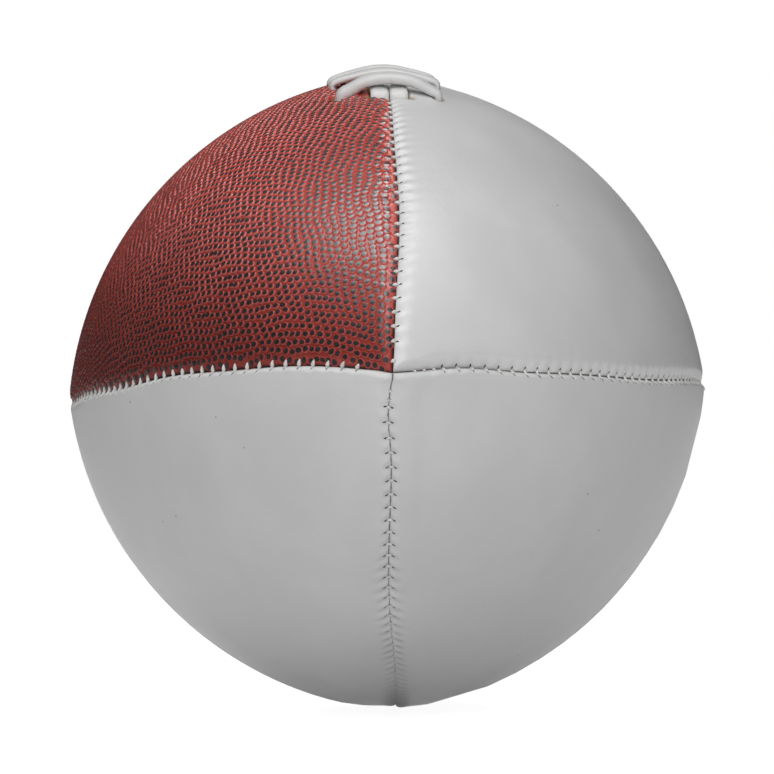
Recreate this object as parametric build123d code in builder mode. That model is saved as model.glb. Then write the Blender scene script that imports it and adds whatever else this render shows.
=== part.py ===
"""American football: four-panel leather cover, linings, bladder, valve, seam stitches and laces.

Frame: the origin is the middle of the ball, Y is the long axis and +Z points up through the laces.
"""
import os
from math import asin, atan2, degrees, hypot, sqrt

from build123d import *

os.makedirs("parts", exist_ok=True)

# Driving dimensions of the cover, in millimetres
ball_length = 286.0        # nose to nose, before the seam edges are rolled
girth_radius = 84.0        # long axis to the middle of a panel, at the girth
meridian_height = 126.0    # half height of the ellipse that the long profile is cut from
axis_setback = 13.7        # each panel is round about its own axis, this far behind the long axis
leather = 2.5              # cover thickness
seam_gap = 0.1             # from a seam plane to the panel edge on either side
seam_roll = 2.6            # radius of the rolled seam edge
flange_width = 2.0         # thickness of the seam edge that is turned in
flange_depth = 6.0         # how far the turned-in edge reaches below the face

# Lining, bladder and valve
bond = 0.2                 # glue line between two layers
lining = 1.1               # lining thickness
bladder_length = 264.0     # end to end
bladder_height = 120.0     # half height of the ellipse that the bladder's profile is cut from
bladder_wall = 0.8
bladder_tip = 3.0          # radius of the flat at each end
bladder_band = 8.0         # width of the straight band round its girth
valve_hole = 10.6          # diameter of the hole through cover, lining and bladder
valve_stem = 10.0          # diameter of the valve boss in that hole
valve_patch = 30.0         # diameter of the boss's bonded flange
valve_patch_thickness = 1.4
valve_recess = 0.6         # the stem's end stands this far below the cover's face
valve_seat = 5.0           # diameter of the bore that holds the core
core_body = 4.8            # diameter of the core
core_head = 7.0            # diameter of the core's head
core_head_thickness = 0.8
core_length = 11.0         # under the head
needle_bore = 2.4          # diameter of the inflation needle's port
needle_depth = 9.0

# Laces
bars = 8                   # cross bars
bar_pitch = 17.0
hole_spread = 26.4         # from a hole on the left to its partner on the right
strap = 1.9                # lace thickness
bar_width = 5.4
strand_width = 4.8         # each of the two lengthwise strands
strand_part = 0.4          # between the two strands
strand_bed = 1.2           # the strands lie this far below the ridge of the seam
strand_end = 66.5          # middle of the ball to the slot where the strands dive in
hole_room = 0.4            # clearance all round a lace in its hole
bar_rise = 0.7             # from the strands' top to the crown of a bar's underside
facing_width = 22.0        # seam plane to the outer edge of the reinforcing strip
facing_end = 75.0          # middle of the ball to the end of the strip
tail = 9.0                 # length of strand end tucked inside
run_width = 3.6            # cross lace where it steps along inside, pressed narrower and flatter
run_thickness = 1.2

# Seam stitches
stitch_pitch = 4.0
thread = 0.6               # diameter
stitch_length = 1.5        # length of a stitch across the seam
stitch_sink = 0.3          # from the ridge of the seam down to the thread's middle
nose_margin = 7.0          # first stitch's distance from the nose, along the seam

# Worked out from the sizes above
half_length = ball_length / 2
chord_drop = meridian_height - girth_radius
meridian_length = half_length / sqrt(1 - (chord_drop / meridian_height) ** 2)
own_axis = axis_setback / sqrt(2)
under_cover = leather + bond
under_lining = under_cover + lining
bladder_radius = girth_radius - under_lining - bond
long_axis = Axis((0, 0, 0), (0, 1, 0))

upper_right = Plane(origin=(0, 0, 0), x_dir=(0, 1, 0), z_dir=(1, 0, 0))
upper_left = Plane(origin=(0, 0, 0), x_dir=(0, 1, 0), z_dir=(0, 0, 1))
lower_left = Plane(origin=(0, 0, 0), x_dir=(0, 1, 0), z_dir=(-1, 0, 0))
lower_right = Plane(origin=(0, 0, 0), x_dir=(0, 1, 0), z_dir=(0, 0, -1))


def panel_height(side, station, depth=0.0):
    """Height of the cover over a seam's plane, `side` away from the seam, at a station along Y."""
    reach = (station / (meridian_length - depth)) ** 2
    round_radius = (meridian_height - depth) * sqrt(1 - reach) - chord_drop + axis_setback
    return sqrt(round_radius**2 - (abs(side) + own_axis) ** 2) - own_axis


def seam_plane(station, upright=False):
    """Plane across the top seam at a station: local X is across, Y is out, and Z runs along the seam."""
    step = 0.01
    rise = panel_height(0, station + step) - panel_height(0, station - step)
    along = Vector(0, 2 * step, rise).normalized()
    out = Vector(0, -along.Z, along.Y)
    point = (0, station, panel_height(0, station))
    if upright:
        return Plane(origin=point, x_dir=(1, 0, 0), z_dir=out)
    return Plane(origin=point, x_dir=(-1, 0, 0), z_dir=along)


def quarter(frame, depth, inset):
    """Quarter of the ball: `depth` below the cover's face, `inset` from both of its seam planes."""
    middle = frame.from_local_coords((0, -own_axis, -own_axis))
    start = degrees(asin(chord_drop / (meridian_height - depth)))
    with BuildPart() as block:
        with BuildSketch(Plane(origin=middle, x_dir=frame.x_dir, z_dir=frame.z_dir)):
            with BuildLine():
                arc = EllipticalCenterArc(
                    (0, axis_setback - chord_drop),
                    meridian_length - depth,
                    meridian_height - depth,
                    start,
                    arc_size=180 - 2 * start,
                )
                Line(arc @ 1, arc @ 0)
            make_face()
        revolve(axis=Axis(middle, frame.x_dir), revolution_arc=90)
        first_seam = Plane(origin=frame.y_dir * inset, z_dir=frame.y_dir)
        split(bisect_by=first_seam, keep=Keep.TOP)
        split(bisect_by=frame.offset(inset), keep=Keep.TOP)
    return block.part


def egg(shrink):
    """Solid inside the bladder's outer face, `shrink` below it."""
    crown = bladder_height - bladder_radius
    semi_length = (bladder_length - bladder_band) / 2 / sqrt(1 - (crown / bladder_height) ** 2) - shrink
    semi_height = bladder_height - shrink
    start = degrees(asin((crown + bladder_tip) / semi_height))
    sweep = 90 - start
    with BuildPart() as block:
        with BuildSketch(Plane(origin=(0, 0, 0), x_dir=(0, 1, 0), z_dir=(1, 0, 0))):
            with BuildLine():
                rear = EllipticalCenterArc(
                    (bladder_band / 2, -crown), semi_length, semi_height, start, arc_size=sweep
                )
                front = EllipticalCenterArc(
                    (-bladder_band / 2, -crown), semi_length, semi_height, 90, arc_size=sweep
                )
                Line(rear @ 1, front @ 0)
                Polyline(front @ 1, ((front @ 1).X, 0), ((rear @ 0).X, 0), rear @ 0)
            make_face()
        revolve(axis=long_axis)
    return block.part


def cover_panel(frame):
    """Leather panel with two rolled seam edges and the flanges that are turned in along them."""
    with BuildPart() as panel:
        add(quarter(frame, 0, seam_gap))
        fillet(panel.edges().sort_by(SortBy.LENGTH)[-2:], seam_roll)
        add(quarter(frame, leather, seam_gap + flange_width), mode=Mode.SUBTRACT)
        add(quarter(frame, flange_depth, -bond), mode=Mode.SUBTRACT)
        add(bladder_room, mode=Mode.SUBTRACT)
    return panel.part


def layer(frame, top, bottom, inset):
    """Even layer of a panel between two depths below the cover's face."""
    with BuildPart() as sheet:
        add(quarter(frame, top, inset))
        add(quarter(frame, bottom, inset - bond), mode=Mode.SUBTRACT)
    return sheet.part


def top_block(width, length):
    """Block round the laces that reaches from inside the bladder to above the ball."""
    with BuildPart() as block:
        with Locations((0, 0, girth_radius)):
            Box(2 * width, 2 * length, girth_radius)
    return block.part


def slit_room(frame):
    """Space under an upper panel where its flange is cut away, so that the laces can pass."""
    with BuildPart() as room:
        add(quarter(frame, leather, -bond))
        add(top_block(flange_width + 2 * bond, facing_end + bond), mode=Mode.INTERSECT)
    return room.part


def seam_point(station, depth):
    """Point in the plane of the top seam, `depth` straight in from the seam's ridge."""
    place = seam_plane(station)
    point = place.origin - place.y_dir * depth
    return (point.Y, point.Z)


def seam_lean(station):
    """Angle of the seam's run at a station, in degrees."""
    run = seam_plane(station).z_dir
    return degrees(atan2(run.Z, run.Y))


def strand(start):
    """Lengthwise strand: it lies along the slit, dives in at both ends and is tucked back inside."""
    reach = strand_end + strap / 2
    side_drop = panel_height(0, strand_end) - panel_height(strand_part / 2 + strand_width, strand_end)
    tuck = under_lining + side_drop + bond
    with BuildPart() as lace:
        with BuildSketch(Plane.YZ.offset(start)):
            with BuildLine():
                under = ThreePointArc(
                    seam_point(-reach, strand_bed),
                    seam_point(0, strand_bed),
                    seam_point(reach, strand_bed),
                )
                over = ThreePointArc(
                    seam_point(-reach, strand_bed - strap),
                    seam_point(0, strand_bed - strap),
                    seam_point(reach, strand_bed - strap),
                )
                Line(under @ 0, over @ 0)
                Line(under @ 1, over @ 1)
            make_face()
            for end in (-strand_end, strand_end):
                dive = tuck + strap - strand_bed
                with Locations(seam_point(end, strand_bed + dive / 2)):
                    Rectangle(strap, dive, rotation=seam_lean(end))
                back = end * (1 - tail / 2 / strand_end)
                with Locations(seam_point(back, tuck + strap / 2)):
                    Rectangle(tail + strap, strap, rotation=seam_lean(back))
        extrude(amount=strand_width)
    return lace.part


def stitch_stations():
    """Stations of one seam's stitches, a pitch apart along its curve and mirrored about the girth."""
    stations = []
    station = 0.0
    travelled = stitch_pitch / 2
    step = 0.02
    while panel_height(0, station) > nose_margin:
        if travelled >= stitch_pitch:
            stations.append(station)
            travelled -= stitch_pitch
        rise = panel_height(0, station + step) - panel_height(0, station)
        travelled += hypot(step, rise)
        station += step
    return [-place for place in reversed(stations)] + stations


def stitches(outward, clear):
    """Stitches of one seam, short runs of thread across its groove, none within `clear` of the girth."""
    with BuildPart() as seam:
        with BuildSketch(Plane(origin=(0, 0, 0), x_dir=(0, 1, 0), z_dir=Vector(0, 1, 0).cross(outward))):
            places = [seam_point(s, stitch_sink) for s in stitch_stations() if abs(s) > clear]
            with Locations(*places):
                RegularPolygon(radius=thread / 2, side_count=6)
        extrude(amount=stitch_length / 2, both=True)
    return seam.part


bladder_room = egg(-bond)
bar_stations = [bar_pitch * (number - (bars - 1) / 2) for number in range(bars)]

# Sixteen lace holes square to the cover, and the two slots where the strands dive in
with BuildPart() as lace_holes:
    for station in bar_stations:
        with BuildSketch(seam_plane(station, upright=True)):
            with GridLocations(hole_spread, bar_pitch, 2, 1):
                SlotOverall(bar_width + 2 * hole_room, strap + 2 * hole_room, rotation=90)
        extrude(amount=flange_depth * 2, both=True)
    for station in (-strand_end, strand_end):
        with BuildSketch(seam_plane(station, upright=True)):
            SlotOverall(2 * strand_width + strand_part + 4 * hole_room, strap + 2 * hole_room)
        extrude(amount=flange_depth * 2, both=True)

# Shallow bed along the slit that takes the two strands
with BuildPart() as strand_room:
    with BuildSketch(Plane.YZ):
        with BuildLine():
            floor = ThreePointArc(
                seam_point(-strand_end, strand_bed + bond),
                seam_point(0, strand_bed + bond),
                seam_point(strand_end, strand_bed + bond),
            )
            lid = ThreePointArc(
                seam_point(-strand_end, -flange_depth),
                seam_point(0, -flange_depth),
                seam_point(strand_end, -flange_depth),
            )
            Line(floor @ 0, lid @ 0)
            Line(floor @ 1, lid @ 1)
        make_face()
    extrude(amount=strand_part / 2 + strand_width + hole_room, both=True)

# Hole for the valve, square to the middle of the lower right panel
valve_plane = Plane(origin=(0, 0, 0), x_dir=(0, 1, 0), z_dir=(1, 0, -1))
with BuildPart() as valve_room:
    with BuildSketch(valve_plane.offset(girth_radius / 2)):
        Circle(valve_hole / 2)
    extrude(amount=girth_radius)

# Cover, upper left: the brown pebbled panel
with BuildPart() as brown_cover_panel:
    add(cover_panel(upper_left))
    add(slit_room(upper_left), mode=Mode.SUBTRACT)
    add(lace_holes.part, mode=Mode.SUBTRACT)
    add(strand_room.part, mode=Mode.SUBTRACT)
brown_cover_panel.part.label = "brown_cover_panel"
export_step(brown_cover_panel.part, "parts/brown_cover_panel.step")

# Cover, upper right
with BuildPart() as white_cover_panel_upper:
    add(cover_panel(upper_right))
    add(slit_room(upper_right), mode=Mode.SUBTRACT)
    add(lace_holes.part, mode=Mode.SUBTRACT)
    add(strand_room.part, mode=Mode.SUBTRACT)
white_cover_panel_upper.part.label = "white_cover_panel_upper"
export_step(white_cover_panel_upper.part, "parts/white_cover_panel_upper.step")

# Cover, lower left
with BuildPart() as white_cover_panel_lower_left:
    add(cover_panel(lower_left))
white_cover_panel_lower_left.part.label = "white_cover_panel_lower_left"
export_step(white_cover_panel_lower_left.part, "parts/white_cover_panel_lower_left.step")

# Cover, lower right, with the valve hole
with BuildPart() as white_cover_panel_lower_right:
    add(cover_panel(lower_right))
    add(valve_room.part, mode=Mode.SUBTRACT)
white_cover_panel_lower_right.part.label = "white_cover_panel_lower_right"
export_step(white_cover_panel_lower_right.part, "parts/white_cover_panel_lower_right.step")

lining_inset = seam_gap + flange_width + bond
facing_room = top_block(facing_width + bond, facing_end + bond)

# Lining of the upper left panel, cut back round its lace facing
with BuildPart() as lining_upper_left:
    add(layer(upper_left, under_cover, under_lining, lining_inset))
    add(facing_room, mode=Mode.SUBTRACT)
lining_upper_left.part.label = "lining_upper_left"
export_step(lining_upper_left.part, "parts/lining_upper_left.step")

# Lining of the upper right panel
with BuildPart() as lining_upper_right:
    add(layer(upper_right, under_cover, under_lining, lining_inset))
    add(facing_room, mode=Mode.SUBTRACT)
lining_upper_right.part.label = "lining_upper_right"
export_step(lining_upper_right.part, "parts/lining_upper_right.step")

# Lining of the lower left panel
with BuildPart() as lining_lower_left:
    add(layer(lower_left, under_cover, under_lining, lining_inset))
lining_lower_left.part.label = "lining_lower_left"
export_step(lining_lower_left.part, "parts/lining_lower_left.step")

# Lining of the lower right panel, with the valve hole
with BuildPart() as lining_lower_right:
    add(layer(lower_right, under_cover, under_lining, lining_inset))
    add(valve_room.part, mode=Mode.SUBTRACT)
lining_lower_right.part.label = "lining_lower_right"
export_step(lining_lower_right.part, "parts/lining_lower_right.step")

facing_block = top_block(facing_width, facing_end)

# Reinforcing strip behind the left row of lace holes
with BuildPart() as lace_facing_left:
    add(layer(upper_left, under_cover, under_lining, seam_gap + bond))
    add(facing_block, mode=Mode.INTERSECT)
    add(lace_holes.part, mode=Mode.SUBTRACT)
lace_facing_left.part.label = "lace_facing_left"
export_step(lace_facing_left.part, "parts/lace_facing_left.step")

# Reinforcing strip behind the right row of lace holes
with BuildPart() as lace_facing_right:
    add(layer(upper_right, under_cover, under_lining, seam_gap + bond))
    add(facing_block, mode=Mode.INTERSECT)
    add(lace_holes.part, mode=Mode.SUBTRACT)
lace_facing_right.part.label = "lace_facing_right"
export_step(lace_facing_right.part, "parts/lace_facing_right.step")

# Bladder, a thin shell that is round about the long axis
with BuildPart() as bladder:
    add(egg(0))
    add(egg(bladder_wall), mode=Mode.SUBTRACT)
    add(valve_room.part, mode=Mode.SUBTRACT)
bladder.part.label = "bladder"
export_step(bladder.part, "parts/bladder.step")

# Valve boss: a stem through the cover, on a flange that is bonded inside the bladder
stem_top = girth_radius - valve_recess
core_end = stem_top - core_head_thickness - core_length
with BuildPart() as valve_boss:
    with BuildSketch(valve_plane.offset(girth_radius / 2)):
        Circle(valve_patch / 2)
    extrude(amount=girth_radius)
    add(egg(bladder_wall + bond), mode=Mode.INTERSECT)
    add(egg(bladder_wall + bond + valve_patch_thickness), mode=Mode.SUBTRACT)
    with BuildSketch(valve_plane.offset(core_end - 1)):
        Circle(valve_stem / 2)
    extrude(amount=stem_top - core_end + 1)
    with BuildSketch(valve_plane.offset(stem_top)):
        Circle(core_head / 2 + bond)
    extrude(amount=-core_head_thickness, mode=Mode.SUBTRACT)
    with BuildSketch(valve_plane.offset(stem_top)):
        Circle(valve_seat / 2)
    extrude(amount=core_end - 1 - stem_top, mode=Mode.SUBTRACT)
valve_boss.part.label = "valve_boss"
export_step(valve_boss.part, "parts/valve_boss.step")

# Valve core: the plug in the boss, with the port for the inflation needle
with BuildPart() as valve_core:
    with BuildSketch(valve_plane.offset(core_end)):
        Circle(core_body / 2)
    extrude(amount=core_length)
    with BuildSketch(valve_plane.offset(stem_top - core_head_thickness + bond / 2)):
        Circle(core_head / 2)
    extrude(amount=core_head_thickness - bond / 2)
    with BuildSketch(valve_plane.offset(core_end + core_length)):
        Circle(core_body / 2)
    extrude(amount=bond)
    with BuildSketch(valve_plane.offset(stem_top)):
        Circle(needle_bore / 2)
    extrude(amount=-needle_depth, mode=Mode.SUBTRACT)
valve_core.part.label = "valve_core"
export_step(valve_core.part, "parts/valve_core.step")

# Cross lace: one unbroken strap that bridges the slit eight times and steps along under the facings
inner_foot = (hole_spread - strap) / 2
outer_foot = (hole_spread + strap) / 2
crown = strap - strand_bed + bar_rise
run_top = under_lining + bond
run_side = (hole_spread + run_width) / 2
with BuildPart() as cross_lace:
    for station in bar_stations:
        place = seam_plane(station)
        square = place.z_dir.Y
        foot = (panel_height(inner_foot, station) - panel_height(0, station)) * square + bond
        toe = foot - bond - run_top - strap
        with BuildSketch(place):
            with BuildLine():
                under = ThreePointArc((-inner_foot, foot), (0, crown), (inner_foot, foot))
                over = ThreePointArc((-outer_foot, foot), (0, crown + strap), (outer_foot, foot))
                Polyline(under @ 0, (-inner_foot, toe), (-outer_foot, toe), over @ 0)
                Polyline(under @ 1, (inner_foot, toe), (outer_foot, toe), over @ 1)
            make_face()
        extrude(amount=bar_width / 2, both=True)
    for number in range(bars - 1):
        first = bar_stations[number] - strap
        last = bar_stations[number + 1] + strap
        side = hole_spread / 2 * (1 if number % 2 else -1)
        with BuildSketch(Plane.YZ.offset(side)):
            stops = [first, (first + last) / 2, last]
            with BuildLine():
                near = ThreePointArc([(s, panel_height(run_side, s, run_top)) for s in stops])
                far = ThreePointArc(
                    [(s, panel_height(run_side, s, run_top) - run_thickness) for s in stops]
                )
                Line(near @ 0, far @ 0)
                Line(near @ 1, far @ 1)
            make_face()
        extrude(amount=run_width / 2, both=True)
cross_lace.part.label = "cross_lace"
export_step(cross_lace.part, "parts/cross_lace.step")

# Left lengthwise strand
with BuildPart() as long_lace_left:
    add(strand(-strand_part / 2 - strand_width))
long_lace_left.part.label = "long_lace_left"
export_step(long_lace_left.part, "parts/long_lace_left.step")

# Right lengthwise strand
with BuildPart() as long_lace_right:
    add(strand(strand_part / 2))
long_lace_right.part.label = "long_lace_right"
export_step(long_lace_right.part, "parts/long_lace_right.step")

# Thread of the top seam, in front of and behind the lacing
with BuildPart() as seam_thread_top:
    add(stitches(Vector(0, 0, 1), facing_end))
seam_thread_top.part.label = "seam_thread_top"
export_step(seam_thread_top.part, "parts/seam_thread_top.step")

# Thread of the bottom seam
with BuildPart() as seam_thread_bottom:
    add(stitches(Vector(0, 0, -1), 0))
seam_thread_bottom.part.label = "seam_thread_bottom"
export_step(seam_thread_bottom.part, "parts/seam_thread_bottom.step")

# Thread of the left seam
with BuildPart() as seam_thread_left:
    add(stitches(Vector(-1, 0, 0), 0))
seam_thread_left.part.label = "seam_thread_left"
export_step(seam_thread_left.part, "parts/seam_thread_left.step")

# Thread of the right seam
with BuildPart() as seam_thread_right:
    add(stitches(Vector(1, 0, 0), 0))
seam_thread_right.part.label = "seam_thread_right"
export_step(seam_thread_right.part, "parts/seam_thread_right.step")
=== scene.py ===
"""American football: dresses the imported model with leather, thread and lace."""
import math

import bpy
import numpy as np
from mathutils import Matrix


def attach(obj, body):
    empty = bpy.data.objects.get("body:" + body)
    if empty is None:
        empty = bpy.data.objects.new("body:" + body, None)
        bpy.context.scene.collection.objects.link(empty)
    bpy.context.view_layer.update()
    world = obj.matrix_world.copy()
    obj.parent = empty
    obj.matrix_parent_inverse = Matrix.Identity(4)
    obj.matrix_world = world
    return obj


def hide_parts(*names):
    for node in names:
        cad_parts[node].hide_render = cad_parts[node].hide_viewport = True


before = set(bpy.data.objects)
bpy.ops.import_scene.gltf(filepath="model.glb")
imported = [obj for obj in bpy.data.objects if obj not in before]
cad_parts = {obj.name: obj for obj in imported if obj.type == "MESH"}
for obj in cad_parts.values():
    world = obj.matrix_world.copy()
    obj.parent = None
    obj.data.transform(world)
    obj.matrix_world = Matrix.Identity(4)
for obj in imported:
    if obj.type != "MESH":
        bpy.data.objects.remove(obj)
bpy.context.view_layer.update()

# White cover panels. The skin is four leather panels cut as pointed ovals and sewn inside out,
# so every seam edge is rolled in and pulled down by its stitches. Three of them are smooth
# white leather. Lengths in this file are in millimetres until a mesh is made.
MM = 0.001
# Form of a panel: an arc along the ball, turned about an axis set back from the ball's own.
HALF_LENGTH = 143.0
GIRTH_RADIUS = 84.0
MERIDIAN_HEIGHT = 126.0
AXIS_SETBACK = 13.7
LEATHER = 2.5
SEAM_GAP = 0.05
CHORD_DROP = MERIDIAN_HEIGHT - GIRTH_RADIUS
MERIDIAN_LENGTH = HALF_LENGTH / math.sqrt(1 - (CHORD_DROP / MERIDIAN_HEIGHT) ** 2)
OWN_AXIS = AXIS_SETBACK / math.sqrt(2)
# Seams in clockwise order, seen from the photographed nose, and the way out to each.
SEAM_ROUND = ("top", "right", "bottom", "left")
SEAM_OUT = {"top": (0, 0, 1), "right": (1, 0, 0), "bottom": (0, 0, -1), "left": (-1, 0, 0)}
# Stitches: their pitch, their slant, and the distance of each seam's first full one from the nose.
STITCH_PITCH = 3.904
STITCH_SLANT = 0.5
FIRST_STITCH = {"top": 8.6, "right": 13.5, "bottom": 9.0, "left": 9.55}
# Laces: bars across the seam, a hole at both ends of each, and a slot where the strands end.
BARS = 8
BAR_PITCH = 17.0
MIDDLE_BAR = (BARS - 1) / 2
BAR_STATIONS = [BAR_PITCH * (number - MIDDLE_BAR) for number in range(BARS)]
HOLE_SIDE = 13.2
HOLE_HALF_WIDTH, HOLE_HALF_LENGTH = 1.45, 3.1
STRAND_END = 65.3
SLOT_HALF_WIDTH, SLOT_HALF_LENGTH = 5.9, 1.55
# Valve: in the middle of the lower right panel.
VALVE_OUT = np.array([1.0, 0.0, -1.0]) / math.sqrt(2)
VALVE_HOLE = 5.3
VALVE_DEPTH = 2.9


def round_radius(station):
    """Radius of a panel about its own axis."""
    reach = np.clip(1 - (station / MERIDIAN_LENGTH) ** 2, 0, None)
    return MERIDIAN_HEIGHT * np.sqrt(reach) - CHORD_DROP + AXIS_SETBACK


def round_slope(station):
    """How fast that radius changes along the ball."""
    reach = np.sqrt(1 - (station / MERIDIAN_LENGTH) ** 2)
    return -MERIDIAN_HEIGHT * station / MERIDIAN_LENGTH**2 / reach


def seam_radius(station):
    """Distance from the long axis to a seam."""
    return np.sqrt(np.clip(round_radius(station) ** 2 - OWN_AXIS**2, 0, None)) - OWN_AXIS


fine_station = HALF_LENGTH * np.sin(np.linspace(-math.pi / 2, math.pi / 2, 20001))
fine_along = np.concatenate(
    [[0], np.cumsum(np.hypot(np.diff(fine_station), np.diff(seam_radius(fine_station))))]
)
SEAM_LENGTH = fine_along[-1]


def along_to_station(along):
    """Place along the long axis for a distance along a seam from the photographed nose."""
    return np.interp(along, fine_along, fine_station)


def station_to_along(station):
    """Distance along a seam from the photographed nose for a place along the long axis."""
    return np.interp(station, fine_station, fine_along)


def smooth_step(low, high, value):
    """Eases from 0 at low to 1 at high; low may be the larger."""
    share = np.clip((value - low) / (high - low), 0, 1)
    return share * share * (3 - 2 * share)


def hill(value, middle, spread):
    """Bell curve that is 1 in its middle."""
    return np.exp(-(((value - middle) / spread) ** 2))


def lace_cuts(station, away):
    """Nearness to the middle of a lace hole and of an end slot, both 1 at their cut edge."""
    number = np.clip(np.round(station / BAR_PITCH + MIDDLE_BAR), 0, BARS - 1)
    bar = BAR_PITCH * (number - MIDDLE_BAR)
    hole = np.hypot((away - HOLE_SIDE) / HOLE_HALF_WIDTH, (station - bar) / HOLE_HALF_LENGTH)
    to_slot = np.abs(np.abs(station) - STRAND_END - 0.2)
    slot = np.maximum(to_slot / SLOT_HALF_LENGTH, away / SLOT_HALF_WIDTH)
    return hole, slot


# Edges that swell into a lip, and edges that step down beside one: a seam and a hand of it, which
# is 1 clockwise and -1 counter-clockwise. All other edges are plainly rolled in.
LIP_EDGES = (("right", 1), ("left", -1))
STEP_EDGES = (("right", -1),)
EDGE_REACH = 0.9
EDGE_ROLL, EDGE_SAG, SAG_REACH = 1.15, 0.5, 2.6
LIP_ROLL, LIP_SWELL, LIP_PLACE, LIP_REACH = 2.1, 0.6, 1.9, 1.1
STEP_ROLL, STEP_FALL, STEP_REACH = 0.35, 2.6, 3.8
# Past the nose lips grow and steps ease off. Further on the left lip fades.
LIP_GROWTH, STEP_EASING, LEFT_FADING = 0.9, 1.2, 0.55
# Puckers: depth close to the seam and further from it. They are weaker on the side seams and
# stronger on the underside, where the edges are rolled in less.
PUCKER_CLOSE, CLOSE_PLACE, CLOSE_REACH = 0.26, 1.0, 1.7
PUCKER_FAR, FAR_REACH = 0.09, 5.0
SIDE_PUCKERS, UNDER_PUCKERS, UNDER_ROLL = 0.6, 0.5, 0.45
# Bottom seam: how far the ball is flattened where it rests, and how the leather near the nose is
# gathered into a ridge with a hollow beside it.
FLATTENED, FLAT_REACH = {1: 1.4, -1: 0.9}, 9.0
RIDGE_RISE, RIDGE_PLACE, RIDGE_REACH = 0.5, 3.2, 2.0
HOLLOW_DEPTH, HOLLOW_PLACE, HOLLOW_REACH = {1: 0.2, -1: 0.5}, 9.0, 4.0
# Cuts for the laces: bed of the strands, end slots and holes.
BED_DEPTH, SLOT_DEPTH, HOLE_DEPTH = 1.35, 2.9, 2.6
# Stretches along a seam, from the nose: past the small first stitches, round to the underside,
# where the left lip fades, where the ball rests, and where the gathers begin and end.
PAST_NOSE = (22, 42)
UNDERSIDE = (45, 75)
LEFT_FADES = (60, 100)
RESTING = (70, 105)
GATHERS_BEGIN, GATHERS_END = (5, 14), (64, 40)


def thread_pull(seam, along, away):
    """How hard the nearest stitch pulls the leather in: 1 at a stitch and -1 between two."""
    slant = STITCH_SLANT + (0.4 * smooth_step(*UNDERSIDE, along) if seam == "bottom" else 0)
    return np.cos(2 * math.pi * (along - slant * away - FIRST_STITCH[seam]) / STITCH_PITCH)


def seam_dip(seam, hand, along, away):
    """How far the leather lies below its plain round face, on one hand of a seam."""
    station = along_to_station(along)
    to_end = np.minimum(along, SEAM_LENGTH - along)
    if (seam, hand) in LIP_EDGES:
        swell = LIP_SWELL * (1 + LIP_GROWTH * smooth_step(*PAST_NOSE, along))
        roll = LIP_ROLL * np.exp(-away / EDGE_REACH) - swell * hill(away, LIP_PLACE, LIP_REACH)
        if seam == "left":
            roll = roll * (1 - LEFT_FADING * smooth_step(*LEFT_FADES, along))
    elif (seam, hand) in STEP_EDGES:
        fall = STEP_FALL - STEP_EASING * smooth_step(*PAST_NOSE, along)
        slope = np.clip(1 - away / STEP_REACH, 0, 1) ** 1.35
        roll = STEP_ROLL * np.exp(-away / 0.3) + fall * slope
    else:
        roll = EDGE_ROLL * np.exp(-away / EDGE_REACH) + EDGE_SAG * hill(away, 0.0, SAG_REACH)
    pull = thread_pull(seam, along, away)
    pucker = PUCKER_CLOSE * pull * hill(away, CLOSE_PLACE, CLOSE_REACH)
    pucker = pucker + PUCKER_FAR * pull * np.exp(-away / FAR_REACH)
    sewn = smooth_step(4, 10, to_end)
    if seam == "top":
        sewn = sewn * smooth_step(STRAND_END + 1, STRAND_END + 4, np.abs(station))
    elif seam == "bottom":
        sewn = sewn * (1 + UNDER_PUCKERS * smooth_step(*UNDERSIDE, along))
        roll = roll * (1 - UNDER_ROLL * smooth_step(50, 80, along))
    else:
        sewn = SIDE_PUCKERS * sewn
    dip = roll + sewn * pucker
    if seam == "bottom":
        dip = dip + FLATTENED[hand] * smooth_step(*RESTING, to_end) * hill(away, 0.0, FLAT_REACH)
        gathered = smooth_step(*GATHERS_BEGIN, along) * smooth_step(*GATHERS_END, along)
        dip = dip - RIDGE_RISE * gathered * hill(away, RIDGE_PLACE, RIDGE_REACH)
        dip = dip + HOLLOW_DEPTH[hand] * gathered * hill(away, HOLLOW_PLACE, HOLLOW_REACH)
    if seam == "top":
        hole, slot = lace_cuts(station, away)
        within = smooth_step(STRAND_END + 0.6, STRAND_END - 0.6, np.abs(station))
        bed = BED_DEPTH * smooth_step(5.4, 4.95, away) * within
        dip = np.maximum(dip, np.maximum(bed, SLOT_DEPTH * smooth_step(1.12, 0.85, slot)))
        dip = np.maximum(dip, HOLE_DEPTH * smooth_step(1.15, 0.8, hole))
    return dip


SHARED_DIP = 0.75


def joint_dip(first, second):
    """Dip of a panel from those of its two seams, which don't add up fully where they meet."""
    return first + second - SHARED_DIP * np.minimum(np.maximum(first, 0), np.maximum(second, 0))


def panel_face(first, second, station, angle):
    """Points and outward normals of a panel's round face, in the ball's frame."""
    first, second = np.array(SEAM_OUT[first], float), np.array(SEAM_OUT[second], float)
    radius = round_radius(station)
    slope = round_slope(station)
    flat = np.sqrt(1 + slope**2)
    points = (radius * np.cos(angle) - OWN_AXIS)[..., None] * first
    points = points + (radius * np.sin(angle) - OWN_AXIS)[..., None] * second
    points[..., 1] += station
    normals = (np.cos(angle) / flat)[..., None] * first
    normals = normals + (np.sin(angle) / flat)[..., None] * second
    normals[..., 1] -= slope / flat
    return points, normals


# Drift of a seam in millimetres clockwise, the place along it where that is most, and its spread.
SEAM_WANDER = {
    "top": ((2.3, 45, 30), (2.2, 100, 45)),
    "right": ((-1.2, 20, 12), (1.0, 88, 28)),
    "bottom": ((1.3, 12, 9), (2.0, 62, 38)),
    "left": ((2.9, 28, 24), (2.5, 66, 23), (-1.8, 148, 20)),
}


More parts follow.
